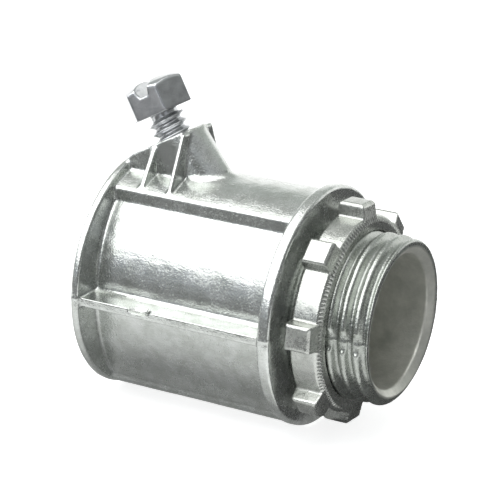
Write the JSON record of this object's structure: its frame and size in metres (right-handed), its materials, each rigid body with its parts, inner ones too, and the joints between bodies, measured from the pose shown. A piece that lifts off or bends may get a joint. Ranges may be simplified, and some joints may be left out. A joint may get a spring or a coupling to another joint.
{
  "type": "set-screw conduit connector",
  "caption": "Die-cast conduit connector: ribbed barrel with end flanges, slanted set-screw boss, threaded nipple and castellated locknut.",
  "frame": {"origin": "centre of the shoulder face that seats on the box wall, on the common axis", "axes": "+X along the axis out of the threaded nipple, +Z towards the set-screw boss, +Y to complete the right-handed frame; the mould's parting plane is z = 0"},
  "size_m": [0.0396, 0.0302, 0.041],
  "materials": {
    "body_zinc": "bright die-cast zinc",
    "screw_steel": "bright zinc-plated steel",
    "nut_zinc": "bright die-cast zinc"
  },
  "bodies": {
    "connector": {"connector_body": "body_zinc"},
    "screw_carrier": {"set_screw_core": "screw_steel"},
    "screw": {"set_screw": "screw_steel"},
    "nut_carrier": {"locknut_core": "nut_zinc"},
    "nut": {"locknut": "nut_zinc"}
  },
  "joints": [
    {"name": "screw_travel", "type": "slide", "parent": "connector", "child": "screw_carrier", "axis": [-0.4848, 0, 0.8746], "range_m": [-0.00317, 0.00847]},
    {"name": "screw_turn", "type": "hinge", "parent": "screw_carrier", "child": "screw", "pos_m": [-0.0223, 0, 0.018], "axis": [-0.4848, 0, 0.8746], "range_deg": [-1080, 2880]},
    {"name": "nut_travel", "type": "slide", "parent": "connector", "child": "nut_carrier", "axis": [1, 0, 0], "range_m": [-0.00136, 0.00907]},
    {"name": "nut_turn", "type": "hinge", "parent": "nut_carrier", "child": "nut", "pos_m": [0.00335, 0, 0], "axis": [1, 0, 0], "range_deg": [-270, 1800]}
  ],
  "couplings": [
    {"joint": "screw_turn", "follows": "screw_travel", "rad_per_m": 5936.9},
    {"joint": "nut_turn", "follows": "nut_travel", "rad_per_m": 3463.2}
  ]
}
